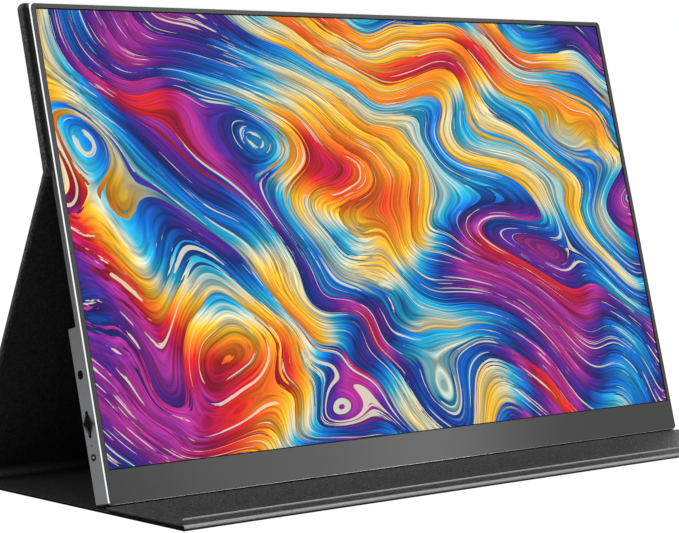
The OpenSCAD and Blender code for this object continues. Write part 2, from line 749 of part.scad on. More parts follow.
prop_inner = -fold_radius;
prop_board = prop_inner + lining_depth;
prop_outer = prop_board + lower_board_depth;
prop_low = fold_radius + panel_gap/2;
prop_high = lower_reach - fold_radius - panel_gap/2;
spine_gap = 1.2;

module lower_skin() color([0.09, 0.09, 0.095]) on_prop() {
    block([-cover_half, prop_outer, 0], [cover_half, fold_radius, lower_reach]);
    for (side = [-1, 1]) {
        inner = side*(cover_half - skin_depth);
        outer = side*cover_half;
        block([min(inner, outer), prop_inner, 0], [max(inner, outer), fold_radius, lower_reach]);
    }
    for (z = [0, lower_reach]) translate([0, 0, z]) rod_x(-cover_half, cover_half, fold_radius);
}

module lower_board() color([0.35, 0.33, 0.3]) on_prop()
    block([-cover_half + skin_depth, prop_board, prop_low + spine_width + spine_gap],
          [cover_half - skin_depth, prop_outer, prop_high]);

module spine_board() color([0.35, 0.33, 0.3]) on_prop()
    block([-cover_half + skin_depth, prop_board, prop_low],
          [cover_half - skin_depth, prop_outer, prop_low + spine_width]);

// Lining with the pressed crease beside the spine strip
module lower_lining() color([0.06, 0.06, 0.065]) on_prop() difference() {
    block([-cover_half + skin_depth, prop_inner, prop_low],
          [cover_half - skin_depth, prop_board, prop_high]);
    block([-reach - cover_half, prop_inner - 1, prop_low + spine_width],
          [reach + cover_half, prop_inner + lining_depth/2, prop_low + spine_width + spine_gap]);
}

// --- Cover: base -----------------------------------------------------------

module base_outline(front, inset) {
    translate([-cover_half + inset, front]) square([2*(cover_half - inset), base_rear - front]);
}

// Leatherette underneath, turned up at the sides and rolled round the front fold
module base_skin() color([0.09, 0.09, 0.095]) union() {
    layer(0, thin_skin) base_outline(front_axis_y, 0);
    for (side = [-1, 1]) {
        inner = side*(cover_half - thin_skin);
        outer = side*cover_half;
        block([min(inner, outer), base_front, 0],
              [max(inner, outer), base_rear, base_depth]);
    }
    translate([0, front_axis_y, front_radius]) rod_x(-cover_half, cover_half, front_radius);
}

module base_board() color([0.35, 0.33, 0.3]) layer(thin_skin, thin_skin + base_board_depth)
    base_outline(base_front, thin_skin);

module base_lining() color([0.06, 0.06, 0.065]) layer(thin_skin + base_board_depth, base_depth)
    base_outline(base_front, thin_skin);

// --- Cover: front flap, folded back over the base -----------------------------

groove_w = 0.9;
ridge_end = 1.5; // from the flap's end to the end of its raised line
flap_board_z = flap_low + thin_lining;
flap_skin_z = flap_board_z + flap_board_depth;
flap_top = flap_skin_z + thin_skin;

module flap_outline(inset) {
    translate([-cover_half + inset, flap_front])
        square([2*(cover_half - inset), flap_rear - inset - flap_front]);
}

flap_magnet = [28, 6, 0.4];
module flap_magnet_bars(grow) {
    for (x = [-0.75, -0.25, 0.25, 0.75])
        translate([x*cover_half, flap_rear - 2*flap_magnet[1], flap_board_z])
            block([-flap_magnet[0]/2 - grow, -grow, -grow*sliver],
                  [flap_magnet[0]/2 + grow, flap_magnet[1] + grow, flap_magnet[2] + grow]);
}

// Leatherette on top, with the pressed groove beside the raised line
module flap_skin() color([0.09, 0.09, 0.095]) difference() {
    union() {
        layer(flap_skin_z, flap_top) flap_outline(0);
        for (side = [-1, 1]) {
            inner = side*(cover_half - thin_skin);
            outer = side*cover_half;
            block([min(inner, outer), flap_front, flap_low], [max(inner, outer), flap_rear, flap_top]);
        }
        block([-cover_half, flap_rear - thin_skin, flap_low], [cover_half, flap_rear, flap_top]);
    }
    block([-cover_half - 1, front_axis_y + ridge_place - ridge_radius - groove_w,
           flap_top - thin_skin/2],
          [cover_half + 1, front_axis_y + ridge_place - ridge_radius, flap_top + 1]);
}

module flap_board() color([0.35, 0.33, 0.3]) difference() {
    layer(flap_board_z, flap_skin_z) flap_outline(thin_skin);
    flap_magnet_bars(seat_gap);
}

module flap_lining() color([0.06, 0.06, 0.065]) layer(flap_low, flap_board_z)
    flap_outline(thin_skin);

module flap_magnets() color([0.72, 0.72, 0.75]) flap_magnet_bars(0);

// Raised line pressed along the flap near its fold
module flap_ridge() color([0.15, 0.15, 0.155]) intersection() {
    translate([0, front_axis_y + ridge_place, flap_top])
        rod_x(-cover_half + ridge_end, cover_half - ridge_end, ridge_radius);
    block([-cover_half, front_axis_y, flap_top], [cover_half, flap_rear, flap_top + ridge_radius]);
}

rear_housing();
front_frame();
chin_support();
lcd_cell();
diffuser_film();
prism_film();
light_guide();
reflector_sheet();
light_bar();
panel_tray();
driver_board();
main_board();
control_board();
board_chips();
shield_can();
screen_flex();
control_flex();
lower_usb_socket();
upper_usb_socket();
mini_video_socket();
headphone_socket();
lever_switch();
power_switch();
light_pipe();
left_speaker();
right_speaker();
board_screws();
lever_carrier();
control_lever();
power_button();
upper_lining();
upper_board();
upper_skin();
upper_magnets();
lower_lining();
lower_board();
spine_board();
lower_skin();
base_lining();
base_board();
base_skin();
flap_skin();
flap_board();
flap_lining();
flap_ridge();
flap_magnets();
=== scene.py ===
import json
import math

import bmesh
import bpy
from mathutils import Matrix, Vector


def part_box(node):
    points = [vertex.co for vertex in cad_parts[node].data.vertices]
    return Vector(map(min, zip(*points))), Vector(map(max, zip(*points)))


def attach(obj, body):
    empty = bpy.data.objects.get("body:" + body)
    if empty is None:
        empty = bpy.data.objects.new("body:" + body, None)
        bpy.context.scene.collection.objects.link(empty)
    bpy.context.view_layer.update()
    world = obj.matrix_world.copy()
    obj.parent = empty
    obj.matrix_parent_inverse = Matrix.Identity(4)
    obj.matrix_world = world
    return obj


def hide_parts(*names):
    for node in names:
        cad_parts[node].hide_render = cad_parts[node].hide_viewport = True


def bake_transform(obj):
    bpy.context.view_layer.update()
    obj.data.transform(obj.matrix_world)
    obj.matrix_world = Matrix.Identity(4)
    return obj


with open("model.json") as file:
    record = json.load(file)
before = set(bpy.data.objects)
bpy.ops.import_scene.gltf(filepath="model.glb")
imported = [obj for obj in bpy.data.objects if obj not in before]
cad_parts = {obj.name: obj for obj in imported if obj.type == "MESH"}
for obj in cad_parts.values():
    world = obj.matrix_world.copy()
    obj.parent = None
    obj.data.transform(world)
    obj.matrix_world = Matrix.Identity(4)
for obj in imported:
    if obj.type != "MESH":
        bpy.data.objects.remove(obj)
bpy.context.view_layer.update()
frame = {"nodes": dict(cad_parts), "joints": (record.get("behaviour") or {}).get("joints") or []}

# --- Camera and lamps ---------------------------------------------------------------
# The camera stands low in front of the left corner, with a long lens. Two tall softboxes
# in front make the sheen on the chin; the others light the rims, the top and the left side.
scene = bpy.context.scene
scene.view_settings.view_transform = "Standard"


def aim(obj, place, target, roll=0.0):
    """Stands an object at a place, looking at a target, rolled by some degrees."""
    back = (Vector(place) - Vector(target)).normalized()
    side = Vector((0, 0, 1)).cross(back).normalized()
    turn = Matrix((side, back.cross(side), back)).transposed().to_4x4()
    rolled = Matrix.Rotation(math.radians(roll), 4, "Z")
    obj.matrix_world = Matrix.Translation(place) @ turn @ rolled


camera_place = Vector((-0.7663, -0.8243, 0.1744))
camera_turn, camera_tilt = math.radians(-41.77), math.radians(4.125)
level_view = Vector((-math.sin(camera_turn), math.cos(camera_turn), 0))
camera_view = level_view * math.cos(camera_tilt) - Vector((0, 0, math.sin(camera_tilt)))
camera = bpy.data.objects.new("camera", bpy.data.cameras.new("camera"))
scene.collection.objects.link(camera)
camera.data.sensor_fit = "HORIZONTAL"
camera.data.sensor_width = 36
camera.data.lens = 127.18
camera.data.clip_start, camera.data.clip_end = 0.05, 60
aim(camera, camera_place, camera_place + camera_view, roll=0.27)
scene.camera = camera


def softbox(name, place, target, size, power, roll=0.0):
    """Hangs a soft rectangular lamp that faces its target."""
    lamp = bpy.data.lights.new(name, "AREA")
    lamp.shape = "RECTANGLE"
    lamp.size, lamp.size_y = size
    lamp.energy = power
    box = bpy.data.objects.new(name, lamp)
    scene.collection.objects.link(box)
    aim(box, place, target, roll)


middle = Vector((0, 0, 0.1))
softbox("front_softbox", (1.352, -1.281, 0.62), middle, size=(0.14, 1.2), power=0.85, roll=-21)
softbox("fill_softbox", (1.21, -1.414, 0.62), middle, size=(0.4, 1.2), power=1.7)
softbox("edge_softbox", (1.43, -0.557, 1.68), (0, -0.078, 0), size=(0.7, 0.56), power=9.8)
softbox("top_softbox", (-0.2, -0.1, 1.6), middle, size=(1.6, 1.2), power=12)
softbox("left_softbox", (-0.75, 0.0, 0.6), (-0.18, 0.02, 0.17), size=(0.3, 0.3), power=2.5)


# --- Table and backdrop -------------------------------------------------------------
# A matt white table in a white room, which keeps the soft shadow of what stands on it.
# A black card at the rear left, unseen itself, darkens what the left side mirrors.
class Finish:
    """A procedural finish: one shader, and the nodes that vary it over the surface."""

    def __init__(self, name, color, roughness, metal=0.0, gloss=0.5):
        self.material = bpy.data.materials.new(name)
        self.material.use_nodes = True
        self.tree = self.material.node_tree
        self.shader = self.tree.nodes["Principled BSDF"]
        self.set("Base Color", color)
        self.set("Roughness", roughness)
        self.set("Metallic", metal)
        self.set("Specular IOR Level", gloss)
        self.place = self.node("TexCoord").outputs["Object"]

    def set(self, socket, value):
        """Sets or links one of the shader's own sockets."""
        self.feed(self.shader.inputs[socket], value)

    def feed(self, socket, value):
        """Links a socket to another node's output, or sets it to a plain value."""
        if isinstance(value, bpy.types.NodeSocket):
            self.tree.links.new(value, socket)
        elif socket.type == "RGBA":
            socket.default_value = (*value, 1)
        else:
            socket.default_value = value

    def node(self, kind, *values, **settings):
        """Adds a node with its settings, and feeds its first inputs in order."""
        made = self.tree.nodes.new("ShaderNode" + kind)
        for key, value in settings.items():
            setattr(made, key, value)
        for socket, value in zip(made.inputs, values):
            self.feed(socket, value)
        return made

    def math(self, operation, *values):
        return self.node("Math", *values, operation=operation).outputs[0]

    def vector(self, operation, *values):
        """Vector arithmetic; a dot product or a length comes out as a plain value."""
        made = self.node("VectorMath", *values, operation=operation)
        return made.outputs["Value" if operation in ("DOT_PRODUCT", "LENGTH") else "Vector"]

    def noise(self, scale, detail, place=None, distortion=0.0, output="Fac"):
        made = self.node("TexNoise")
        for key, value in (("Vector", place or self.place), ("Scale", scale),
                           ("Detail", detail), ("Distortion", distortion)):
            self.feed(made.inputs[key], value)
        return made.outputs[output]

    def spread(self, value, low, high, out_low, out_high):
        """Carries a value from one span to another, held at the ends."""
        return self.node("MapRange", value, low, high, out_low, out_high).outputs[0]

    def ramp(self, value, *stops, blend="EASE"):
        """Turns a value into colour by (place, colour) stops."""
        made = self.node("ValToRGB", value)
        bar = made.color_ramp
        bar.interpolation = blend
        while len(bar.elements) > 1:
            bar.elements.remove(bar.elements[-1])
        bar.elements[0].position = stops[0][0]
        bar.elements[0].color = (*stops[0][1], 1)
        for where, color in stops[1:]:
            bar.elements.new(where).color = (*color, 1)
        return made.outputs["Color"]

    def mix(self, factor, first, second, how="MIX"):
        """Mixes two colours; a Mix node keeps its colours in sockets 6 and 7, the result in 2."""
        made = self.node("Mix", data_type="RGBA", blend_type=how)
        self.feed(made.inputs["Factor"], factor)
        self.feed(made.inputs[6], first)
        self.feed(made.inputs[7], second)
        return made.outputs[2]

    def mottle(self, scale, detail, dark, light):
        """Lets the base colour drift between two tones."""
        self.set("Base Color", self.mix(self.noise(scale, detail), dark, light))

    def satin(self, grit, low, high):
        """Lets the roughness follow a noise, which lies mostly between 0.3 and 0.7."""
        self.set("Roughness", self.spread(grit, 0.3, 0.7, low, high))

    def bump(self, height, depth, strength=1.0):
        made = self.node("Bump", strength, depth)
        self.feed(made.inputs["Height"], height)
        self.set("Normal", made.outputs["Normal"])

    def from_middle(self):
        """Distance to the left or right of the object's middle."""
        return self.math("ABSOLUTE", self.node("SeparateXYZ", self.place).outputs[0])


def gray(value):
    return (value, value, value)


def seen_directly(tree):
    """1 for what the camera, a reflection or clear matter sees, and 0 for lighting."""
    ray = tree.nodes.new("ShaderNodeLightPath")
    seen = ray.outputs["Is Camera Ray"]
    for kind in ("Is Glossy Ray", "Is Transmission Ray"):
        either = tree.nodes.new("ShaderNodeMath")
        either.operation = "MAXIMUM"
        tree.links.new(seen, either.inputs[0])
        tree.links.new(ray.outputs[kind], either.inputs[1])
        seen = either.outputs[0]
    return seen


def studio_sheet(name, corners, finish):
    """Flat sheet that belongs to the studio."""
    mesh = bpy.data.meshes.new(name)
    mesh.from_pydata(corners, [], [(0, 1, 2, 3)])
    mesh.materials.append(finish.material)
    made = bpy.data.objects.new(name, mesh)
    scene.collection.objects.link(made)
    return made


card_black = Finish("card_black", gray(0.01), 0.9, gloss=0.0)
card_left, card_right, card_height = (-1.35, 0.5), (-0.5, 1.3), 0.8
black_card = studio_sheet("black_card", [(*card_left, 0.0), (*card_right, 0.0),
                                         (*card_right, card_height), (*card_left, card_height)],
                          card_black)
black_card.visible_camera = False

table_white = Finish("table_white", gray(0.75), 0.9, gloss=0.0)
glow = table_white.node("Emission", gray(1.0), 0.945)
shade = table_white.node("BsdfDiffuse", gray(0.14))
lit = table_white.node("AddShader", glow.outputs[0], shade.outputs[0])
shown = table_white.node("MixShader", seen_directly(table_white.tree),
                         table_white.shader.outputs[0], lit.outputs[0])
table_white.feed(table_white.tree.nodes["Material Output"].inputs["Surface"], shown.outputs[0])
table_reach, table_level = 12, -0.00005
studio_sheet("table", [(x * table_reach, y * table_reach, table_level)
                       for x, y in ((-1, -1), (1, -1), (1, 1), (-1, 1))], table_white)

room = bpy.data.worlds.new("room")
room.use_nodes = True
scene.world = room
sky = room.node_tree
sky_light = sky.nodes["Background"]
sky_light.inputs["Color"].default_value = (1, 1, 1, 1)
sky_strength = sky.nodes.new("ShaderNodeMapRange")
sky_strength.inputs["To Min"].default_value = 0.45
sky_strength.inputs["To Max"].default_value = 1.0
sky.links.new(seen_directly(sky), sky_strength.inputs["Value"])
sky.links.new(sky_strength.outputs[0], sky_light.inputs["Strength"])

# --- Metal housing ------------------------------------------------------------------
# One tray milled from aluminium, bead blasted and anodised dark grey. The narrow
# chamfer round its front is cut after that with a diamond tool and shines.
lean = math.radians(15.2)
front_foot = Vector((0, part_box("rear_housing")[0].y, 0.003216))
monitor_up = Vector((0, math.sin(lean), math.cos(lean)))
monitor_back = Vector((0, math.cos(lean), -math.sin(lean)))
polished_depth = 0.00045
lip_depth = 0.00001


def dress(finish, *names):
    """Gives CAD pieces a finish."""
    for name in names:
        slots = frame["nodes"][name].data.materials
        slots.clear()
        slots.append(finish.material)


def on_monitor(x, depth, rise):
    """Place of a point of the monitor: depth behind its face, rise above its lower edge."""
    return front_foot + Vector((x, 0, 0)) + monitor_back * depth + monitor_up * rise


def monitor_space(finish):
    """Place in the monitor's upright frame, then that place's X, depth and rise."""
    upright = finish.node("Mapping", finish.place, vector_type="POINT")
    upright.inputs["Location"].default_value = -(Matrix.Rotation(lean, 3, "X") @ front_foot)
    upright.inputs["Rotation"].default_value = (lean, 0, 0)
    place = upright.outputs[0]
    return place, *finish.node("SeparateXYZ", place).outputs


anodised = Finish("anodised_aluminium", gray(0.17), 0.3, metal=1.0)
_, _, behind_face, _ = monitor_space(anodised)
# Painted shade: the thin front lip, flush with the frame, is painted near black along the frame's
# edge.
shaded_lip = anodised.math("LESS_THAN", behind_face, lip_depth)
rim = anodised.math("MULTIPLY", anodised.math("LESS_THAN", behind_face, polished_depth),
                    anodised.math("GREATER_THAN", behind_face, lip_depth))
blasted_and_lip_shade = anodised.mix(anodised.noise(30, 3), (0.155, 0.158, 0.163), (0.18, 0.183, 0.188))
blasted_and_lip_shade = anodised.mix(shaded_lip, blasted_and_lip_shade, gray(0.012))
anodised.set("Base Color", anodised.mix(rim, blasted_and_lip_shade, (0.99, 0.99, 1.0)))
beads = anodised.noise(9000, 2)
blasted_dullness = anodised.spread(beads, 0.3, 0.7, 0.26, 0.36)
rim_dullness = anodised.spread(rim, 0, 1, 1, 0.35)
anodised.set("Roughness", anodised.math("MULTIPLY", blasted_dullness, rim_dullness))
beads = anodised.math("MULTIPLY", beads, anodised.spread(rim, 0, 1, 1, 0.05))
anodised.bump(beads, 0.00004, 0.5)
dress(anodised, "rear_housing")

# --- Front frame --------------------------------------------------------------------
# A thin moulding with a deep chin, black with a satin coat, glued over the edge of
# the picture and flush with the polished chamfer.
frame_coat = Finish("satin_black_frame", gray(0.02), 0.2)
coat_grit = frame_coat.noise(14000, 2)
frame_coat.mottle(25, 2, (0.019, 0.02, 0.0205), (0.022, 0.0235, 0.024))
frame_coat.satin(coat_grit, 0.1, 0.15)
frame_coat.bump(coat_grit, 0.00001, 0.4)
dress(frame_coat, "front_frame")

# --- Picture ------------------------------------------------------------------------
# The liquid crystal cell behind its matt polariser, lit from behind. It shows a
# wallpaper of loose brush strokes, with a thin black mask round the picture.
half_picture = 0.1771
picture_low, picture_high = 0.01505, 0.21425
strokes_per_metre, hair_run, drift_reach = (46, 74, 0), (-16, 10, 0), (0.26, 0.26, 0)
hairs_per_stroke, hair_waver = 6, 2.2
stroke_tint, hair_tint = 0.34, 0.22
picture = Finish("lit_picture", gray(0.002), 0.45, gloss=0.06)
_, across, _, upward = monitor_space(picture)
flat = picture.node("CombineXYZ", across, upward).outputs[0]
drift = picture.vector("SUBTRACT", picture.noise(6, 2, flat, 0.5, "Color"), (0.5, 0.5, 0.5))
bent = picture.vector("ADD", flat, picture.vector("MULTIPLY", drift, drift_reach))
over_strokes = picture.vector("DOT_PRODUCT", bent, strokes_per_metre)
along_strokes = picture.vector("DOT_PRODUCT", bent, hair_run)
hair_place = picture.node("CombineXYZ", picture.math("MULTIPLY", over_strokes, hairs_per_stroke),
                          along_strokes).outputs[0]
hair = picture.noise(1, 4, hair_place)
stroke = picture.math("MULTIPLY_ADD", picture.math("SUBTRACT", hair, 0.5), hair_waver, over_strokes)
stroke_chance = picture.node("TexWhiteNoise", noise_dimensions="1D")
picture.feed(stroke_chance.inputs["W"], picture.math("FLOOR", stroke))
wander = picture.spread(picture.noise(4.6, 1.5, flat, 0.8), 0.28, 0.72, 0.2, 1.9)
tint = picture.math("MULTIPLY_ADD", stroke_chance.outputs["Value"], stroke_tint, wander)
tint = picture.math("FRACT", picture.math("MULTIPLY_ADD", hair, hair_tint, tint))
inks = picture.ramp(
    tint,
    (0.0, (0.006, 0.03, 0.25)), (0.1, (0.0, 0.16, 0.62)), (0.19, (0.02, 0.42, 0.62)),
    (0.27, (0.62, 0.64, 0.46)), (0.36, (0.95, 0.55, 0.03)), (0.47, (1.0, 0.24, 0.01)),
    (0.58, (0.75, 0.02, 0.015)), (0.7, (0.4, 0.004, 0.07)), (0.8, (0.42, 0.03, 0.3)),
    (0.9, (0.09, 0.012, 0.26)), (1.0, (0.006, 0.03, 0.25)), blend="LINEAR")
swell = picture.spread(picture.math("FRACT", stroke), 0.0, 0.75, 0.5, 1.3)
bristle = picture.spread(picture.noise(3.2, 4, hair_place), 0.32, 0.66, 0.45, 1.25)
inks = picture.mix(1.0, inks, picture.math("MULTIPLY", swell, bristle), "MULTIPLY")
cream = picture.math("GREATER_THAN", picture.noise(1.2, 4, hair_place), 0.63)
inks = picture.mix(picture.math("MULTIPLY", cream, 0.8), inks, (0.8, 0.74, 0.56))
inside = picture.math("LESS_THAN", picture.math("ABSOLUTE", across), half_picture)
inside = picture.math("MULTIPLY", inside, picture.math("GREATER_THAN", upward, picture_low))
inside = picture.math("MULTIPLY", inside, picture.math("LESS_THAN", upward, picture_high))
picture.set("Emission Color", picture.mix(inside, gray(0.0), inks))
to_camera = picture.node("LightPath").outputs["Is Camera Ray"]
picture.set("Emission Strength", picture.spread(to_camera, 0, 1, 0.06, 1))
dress(picture, "lcd_cell")

# --- Films and light guide ----------------------------------------------------------
# White or clear sheets behind the picture, laid loose in the steel tray: two films, the
# light guide and the reflector, with a strip of lamps under the guide's lower edge.
film = Finish("optical_film", gray(0.85), 0.4)
film.mottle(40, 2, (0.82, 0.83, 0.84), gray(0.88))
film.bump(film.noise(4000, 2), 0.00002, 0.4)
dress(film, "diffuser_film", "prism_film", "light_guide", "reflector_sheet", "light_bar")

# --- Steel tray and small steel parts -----------------------------------------------
# The tray that holds the films, the shield over the chips, the board screws and the
# lever's carrier are plain rolled steel, stamped or turned.
sheet_steel = Finish("sheet_steel", gray(0.6), 0.35, metal=1.0)
rolled = sheet_steel.node("Mapping", sheet_steel.place)
rolled.inputs["Scale"].default_value = (40, 2500, 2500)
roller_marks = sheet_steel.noise(1, 3, rolled.outputs[0])
sheet_steel.satin(roller_marks, 0.28, 0.45)
sheet_steel.bump(roller_marks, 0.00001, 0.4)
dress(sheet_steel, "panel_tray", "shield_can", "board_screws", "lever_carrier")

# --- Circuit boards -----------------------------------------------------------------
# Glass-fibre boards under a green mask, screwed to low pads in the housing's bay. Their
# tracks show through the mask as a slightly lighter net.
solder_mask = Finish("solder_mask", (0.01, 0.12, 0.05), 0.3)
tracks = solder_mask.node("TexBrick", solder_mask.place, (0.008, 0.1, 0.045),
                          (0.012, 0.13, 0.06), (0.03, 0.2, 0.09), 260)
solder_mask.set("Base Color", tracks.outputs["Color"])
solder_mask.bump(tracks.outputs["Fac"], 0.00002, 0.5)
dress(solder_mask, "driver_board", "main_board", "control_board")

# --- Black mouldings ----------------------------------------------------------------
# Chips, the support behind the chin, the headphone socket's body, both switches and the
# speakers are black plastic, soldered to a board or pushed into the housing.
moulded = Finish("black_moulding", gray(0.012), 0.5)
moulded.satin(moulded.noise(900, 3), 0.42, 0.58)
moulded.bump(moulded.noise(6000, 2), 0.00002, 0.5)
dress(moulded, "board_chips", "chin_support", "headphone_socket", "lever_switch", "power_switch",
      "left_speaker", "right_speaker")

# --- Flat cables --------------------------------------------------------------------
# Amber ribbons with fine copper lines join the boards to the picture and the controls.
# They lie flat in the bay and are pressed into connectors.
amber = Finish("amber_flat_cable", (0.42, 0.2, 0.03), 0.3)
lines_per_metre = 1600
cable_rise = amber.node("SeparateXYZ", amber.place).outputs[2]
copper = amber.math("FRACT", amber.math("MULTIPLY", cable_rise, lines_per_metre))
copper = amber.math("GREATER_THAN", copper, 0.5)
amber.set("Base Color", amber.mix(copper, (0.42, 0.2, 0.03), (0.5, 0.3, 0.1)))
dress(amber, "screen_flex", "control_flex")

# --- Right side sockets -------------------------------------------------------------
# Two charging sockets and a small video socket: drawn steel shells with nickel plating,
# soldered to the main board behind the openings of the right side.
nickel = Finish("nickel_plate", gray(0.72), 0.24, metal=1.0)
nickel.satin(nickel.noise(1800, 3), 0.18, 0.32)
dress(nickel, "lower_usb_socket", "upper_usb_socket", "mini_video_socket")

# --- Headphone socket ---------------------------------------------------------------
# A thin plated sleeve lines the round opening in the left side. The throat of the black
# socket body starts just inside it and narrows to the plug's size.
half_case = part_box("rear_housing")[1].x
port_depth = 0.0055
jack_rise = 0.0562


def piece(name, body, finish, build, replaced=(), sharp_angle=35):
    """Makes one mesh piece from build(bm), on a body if one is given."""
    bm = bmesh.new()
    build(bm)
    bmesh.ops.recalc_face_normals(bm, faces=bm.faces)
    mesh = bpy.data.meshes.new(name)
    bm.to_mesh(mesh)
    bm.free()
    mesh.shade_smooth()
    mesh.set_sharp_from_angle(angle=math.radians(sharp_angle))
    made = bpy.data.objects.new(name, mesh)
    scene.collection.objects.link(made)
    mesh.materials.append(finish.material)
    if replaced:
        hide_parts(*replaced)
    if body:
        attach(made, body)
    return made


def loft(bm, rings, capped=True):
    """Joins closed rings of equal length into a skin, with or without end faces."""
    made = [[bm.verts.new(p) for p in ring] for ring in rings]
    count = len(made[0])
    for near, far in zip(made, made[1:]):
        for i in range(count):
            j = (i + 1) % count
            bm.faces.new((near[i], near[j], far[j], far[i]))
    if capped:
        bm.faces.new(made[0])
        bm.faces.new(made[-1])


def turned(rise, stations, capped=False, count=40):
    """Skin turned about a line through the left wall, from (out of the wall, radius) stations."""
    def build(bm):
        turns = [2 * math.pi * i / count for i in range(count)]
        loft(bm, [[on_monitor(-half_case - out, port_depth + radius * math.cos(a),
                              rise + radius * math.sin(a)) for a in turns]
                  for out, radius in stations], capped)
    return build


piece("jack_sleeve", "monitor", nickel, turned(jack_rise, [
    (0.00001, 0.00209), (0.00002, 0.00207), (-0.00004, 0.00205), (-0.0001, 0.00205),
    (-0.0001, 0.00209), (0.00001, 0.00209)]))

throat_black = Finish("throat_black", gray(0.003), 0.6, gloss=0.2)
throat_black.bump(throat_black.noise(5000, 2), 0.00002, 0.4)
piece("jack_throat", "monitor", throat_black, turned(jack_rise, [
    (-0.00012, 0.00209), (-0.00012, 0.00204), (-0.0005, 0.0018), (-0.00122, 0.0018),
    (-0.00122, 0.00209), (-0.00012, 0.00209)]))

# --- Control lever ------------------------------------------------------------------
# A black moulded lever with a pointed crown, on a pin behind the wall. Its neck comes out
# through a slot with round ends, whose edge is broken by the cutter.
lever_black = Finish("lever_moulding", gray(0.006), 0.25, gloss=0.2)
lever_black.mottle(700, 3, gray(0.002), (0.005, 0.005, 0.0053))
lever_black.bump(lever_black.noise(5000, 2), 0.00002, 0.5)
dress(lever_black, "control_lever")
soft_edges = frame["nodes"]["control_lever"].modifiers.new("soft_edges", "BEVEL")
soft_edges.width, soft_edges.segments, soft_edges.limit_method = 0.00014, 3, "ANGLE"

slot_rise = 0.0351
slot_half_length, slot_half_width = 0.00575, 0.0009


def slot_ring(out, grow, steps=12):
    """Outline of the slot, grown a little, at some distance out of the left wall."""
    half_width = slot_half_width + grow
    straight = slot_half_length - slot_half_width
    ring = []
    for side in (1, -1):
        for i in range(steps + 1):
            angle = math.pi * i / steps
            ring.append(on_monitor(-half_case - out, port_depth + side * half_width * math.cos(angle),
                                   slot_rise + side * (straight + half_width * math.sin(angle))))
    return ring


def slot_edge(bm):
    stations = [(0.00001, 0.00012), (0.00004, 0.00008), (0.00003, -0.00002), (-0.00015, -0.00004),
                (-0.0006, -0.00002), (-0.0006, 0.00006), (0.00001, 0.00012)]
    loft(bm, [slot_ring(out, grow) for out, grow in stations], capped=False)


# Painted shade: the broken edge round the slot is painted near black, so the dark of the slot reads
# wider.
slot_shade_metal = Finish("slot_edge_shaded_metal", gray(0.015), 0.35, metal=1.0)
slot_shade_metal.satin(slot_shade_metal.noise(1800, 3), 0.28, 0.42)
piece("slot_edge", "monitor", slot_shade_metal, slot_edge)

# --- Power button -------------------------------------------------------------------
# A small aluminium cap, turned and anodised black, with a shallow dish that shows the
# tool's rings and a painted highlight, a bright spot in its middle. It is pushed onto the switch's
# plunger.
button_rise = 0.0211
glint_radius = 0.0005
button_cap = Finish("turned_cap", gray(0.012), 0.25, metal=1.0)
cap_centre = (-half_case, port_depth, button_rise)
from_centre = button_cap.vector("SUBTRACT", monitor_space(button_cap)[0], cap_centre)
from_centre = button_cap.vector("MULTIPLY", from_centre, (0, 1, 1))
painted_glint = button_cap.math("LESS_THAN", button_cap.vector("LENGTH", from_centre), glint_radius)
button_cap.set("Base Color", button_cap.mix(painted_glint, (0.004, 0.004, 0.0042), (0.3, 0.3, 0.31)))
tool_rings = button_cap.node("TexWave", from_centre, 2500, wave_type="RINGS", rings_direction="X")
button_cap.set("Roughness", button_cap.spread(tool_rings.outputs["Fac"], 0, 1, 0.18, 0.32))
button_cap.bump(tool_rings.outputs["Fac"], 0.00001, 0.4)
dress(button_cap, "power_button")
piece("button_dish", "power_button", button_cap, turned(button_rise, [
    (0.0, 0.00152), (0.00022, 0.00148), (0.00026, 0.00138), (0.0002, 0.00124),
    (0.00012, 0.0008), (0.0001, 0.0003)], capped=True))

# --- Indicator light ----------------------------------------------------------------
# A pin of smoked clear plastic, pushed into a hole below the lever. It brings the light
# of a lamp on the control board to the wall.
smoked = Finish("smoked_moulding", gray(0.008), 0.12)
smoked.satin(smoked.noise(800, 2), 0.08, 0.2)
dress(smoked, "light_pipe")

# --- Cover: boards and magnets ------------------------------------------------------
# Grey pressed fibre boards stiffen each panel; their ends are painted black, as painted shade
# in the gaps under the leatherette's edges. Plated magnets let into two of them hold the
# monitor and keep the cover shut. The leatherette hides them.
shaded_end_from = 0.176
fibre = Finish("pressed_fibre", gray(0.2), 0.85)
pressed = fibre.mix(fibre.noise(1500, 4), (0.16, 0.155, 0.145), (0.26, 0.25, 0.235))
shaded_board_end = fibre.math("GREATER_THAN", fibre.from_middle(), shaded_end_from)
fibre.set("Base Color", fibre.mix(shaded_board_end, pressed, gray(0.003)))
fibre.bump(fibre.noise(2500, 3), 0.00005, 0.6)
dress(fibre, "upper_board", "lower_board", "spine_board", "base_board", "flap_board")
dress(nickel, "upper_magnets", "flap_magnets")

# --- Cover: upper panel -------------------------------------------------------------
# Black pebble-grained leatherette wrapped round its board and turned in at the edges.
# It lies on the housing's thin back and stands out a little beyond it.
cover_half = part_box("upper_skin")[1].x
upper_low, upper_high = 0.1449, 0.2181
upper_front = 0.0035
upper_thick = 0.0034


